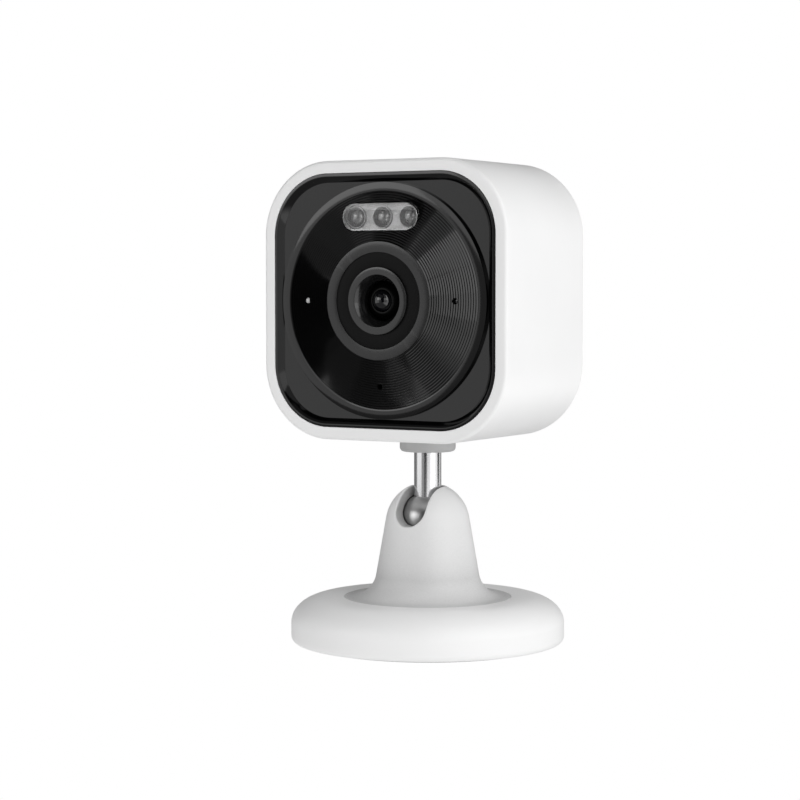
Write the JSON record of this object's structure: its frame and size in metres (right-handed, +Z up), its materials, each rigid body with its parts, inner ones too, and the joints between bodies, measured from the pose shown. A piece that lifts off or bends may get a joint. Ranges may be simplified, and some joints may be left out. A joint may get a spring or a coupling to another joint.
{
  "type": "indoor security camera",
  "caption": "Small indoor security camera: rounded square head with a black face, on a ball-jointed stem over a round weighted base.",
  "frame": {"origin": "centre of the underside of the base, on the axis of the stem", "axes": "+Z up along the stem, the lens looks along -Y, +X to the right of someone in front of the camera, facing its lens"},
  "size_m": [0.0522, 0.0522, 0.0915],
  "materials": {
    "white_shell": "satin moulded white plastic",
    "black_face": "glossy black, with fine turned grooves on the cone",
    "lens_grey": "satin dark grey",
    "black_matt": "matt black",
    "grey_plastic": "satin light grey plastic",
    "polished_metal": "polished",
    "steel": "plain steel",
    "brass": "turned brass",
    "foot_rubber": "soft matt rubber",
    "clear_plastic": "clear moulded plastic",
    "lens_glass": "coated optical glass",
    "circuit_board": "green solder mask",
    "chip_black": "moulded black package"
  },
  "bodies": {
    "stand": {"base_shell": "white_shell", "base_plate": "white_shell", "foot_pad": "foot_rubber", "ballast_ring": "steel", "base_screw_1": "steel", "base_screw_2": "steel", "base_screw_3": "steel", "pedestal": "white_shell", "ball_seat": "grey_plastic", "seat_spring": "steel", "seat_plug": "brass"},
    "stem": {"ball": "polished_metal", "stem_rod": "polished_metal", "stem_clip": "steel"},
    "head": {"mount_collar": "grey_plastic", "swivel_washer": "steel", "shell": "white_shell", "rear_cover": "white_shell", "front_bezel": "black_face", "lens_ring": "lens_grey", "lens_trim": "black_matt", "lens_hood": "lens_grey", "lens_barrel": "black_matt", "lens_front_glass": "lens_glass", "lens_rear_glass": "lens_glass", "lens_holder": "black_matt", "filter_actuator": "chip_black", "image_sensor": "chip_black", "sensor_board": "circuit_board", "sensor_post_1": "brass", "sensor_post_2": "brass", "board_connector": "grey_plastic", "main_board": "circuit_board", "processor": "chip_black", "heat_spreader": "steel", "wifi_module": "steel", "antenna_board": "circuit_board", "speaker": "chip_black", "standoff_1": "brass", "standoff_2": "brass", "standoff_3": "brass", "standoff_4": "brass", "board_screw_1": "steel", "board_screw_2": "steel", "board_screw_3": "steel", "board_screw_4": "steel", "power_socket": "steel", "reset_switch": "chip_black", "light_window": "clear_plastic", "lamp_reflector": "grey_plastic", "lamp_board": "circuit_board", "led_1": "clear_plastic", "led_2": "clear_plastic", "led_3": "clear_plastic", "status_light": "clear_plastic", "light_sensor": "lens_glass", "microphone": "steel"},
    "button": {"reset_button": "grey_plastic"},
    "filter": {"ir_filter_slide": "lens_glass"}
  },
  "joints": [
    {"name": "tilt", "type": "hinge", "parent": "stand", "child": "stem", "pos_m": [0, 0, 0.0235], "axis": [1, 0, 0], "range_deg": [-3, 66]},
    {"name": "pan", "type": "hinge", "parent": "stem", "child": "head", "pos_m": [0, 0, 0.0395], "axis": [0, 0, 1], "continuous": true},
    {"name": "button_press", "type": "slide", "parent": "head", "child": "button", "axis": [0, -1, 0], "range_m": [0, 0.0005], "stiffness_N_per_m": 1500},
    {"name": "filter_switch", "type": "slide", "parent": "head", "child": "filter", "axis": [1, 0, 0], "range_m": [0, 0.0042]}
  ]
}
